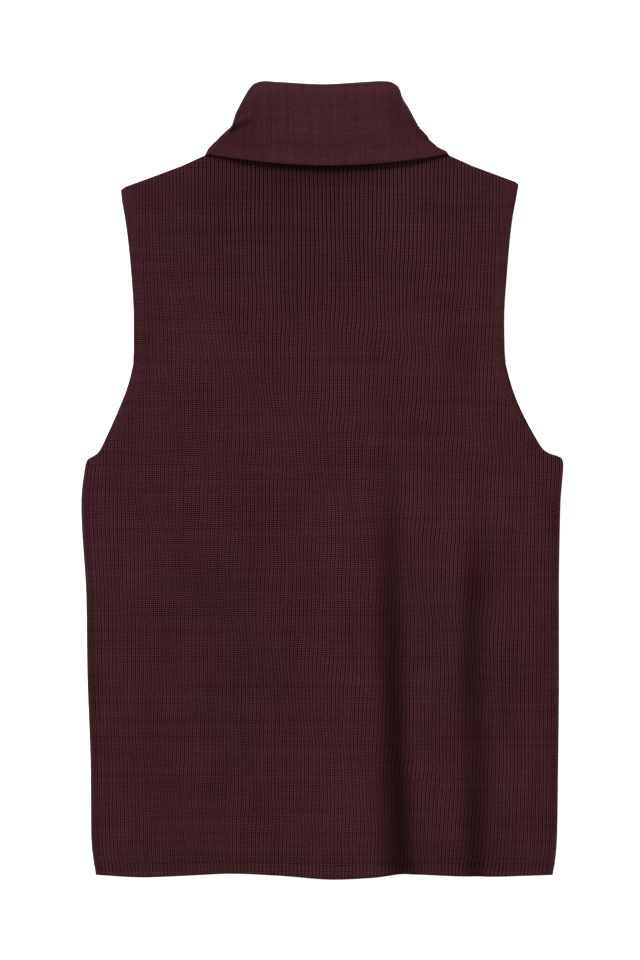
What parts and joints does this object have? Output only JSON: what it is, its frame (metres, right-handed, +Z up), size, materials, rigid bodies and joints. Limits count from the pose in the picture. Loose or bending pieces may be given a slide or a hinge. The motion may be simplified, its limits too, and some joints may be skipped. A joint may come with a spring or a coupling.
{
  "type": "knitted sweater vest laid flat",
  "caption": "Sleeveless roll-neck vest in fine rib knit, laid flat with its back up: front and back panels, hem bands and a folded-over plain-knit collar.",
  "frame": {"origin": "the middle of the vest's outline, on the surface that it lies on", "axes": "+X across the vest, +Y from the hem to the collar, +Z up from the surface, with the vest's back uppermost"},
  "size_m": [0.4482, 0.7422, 0.0097],
  "materials": {
    "rib_knit": "matt 1x1 rib knit in dark aubergine yarn",
    "fine_knit": "matt fine plain knit in dark aubergine yarn"
  },
  "bodies": {
    "root": {"front_panel": "rib_knit", "front_hem_band": "rib_knit", "back_panel": "rib_knit", "back_hem_band": "rib_knit", "collar": "fine_knit"}
  },
  "joints": []
}
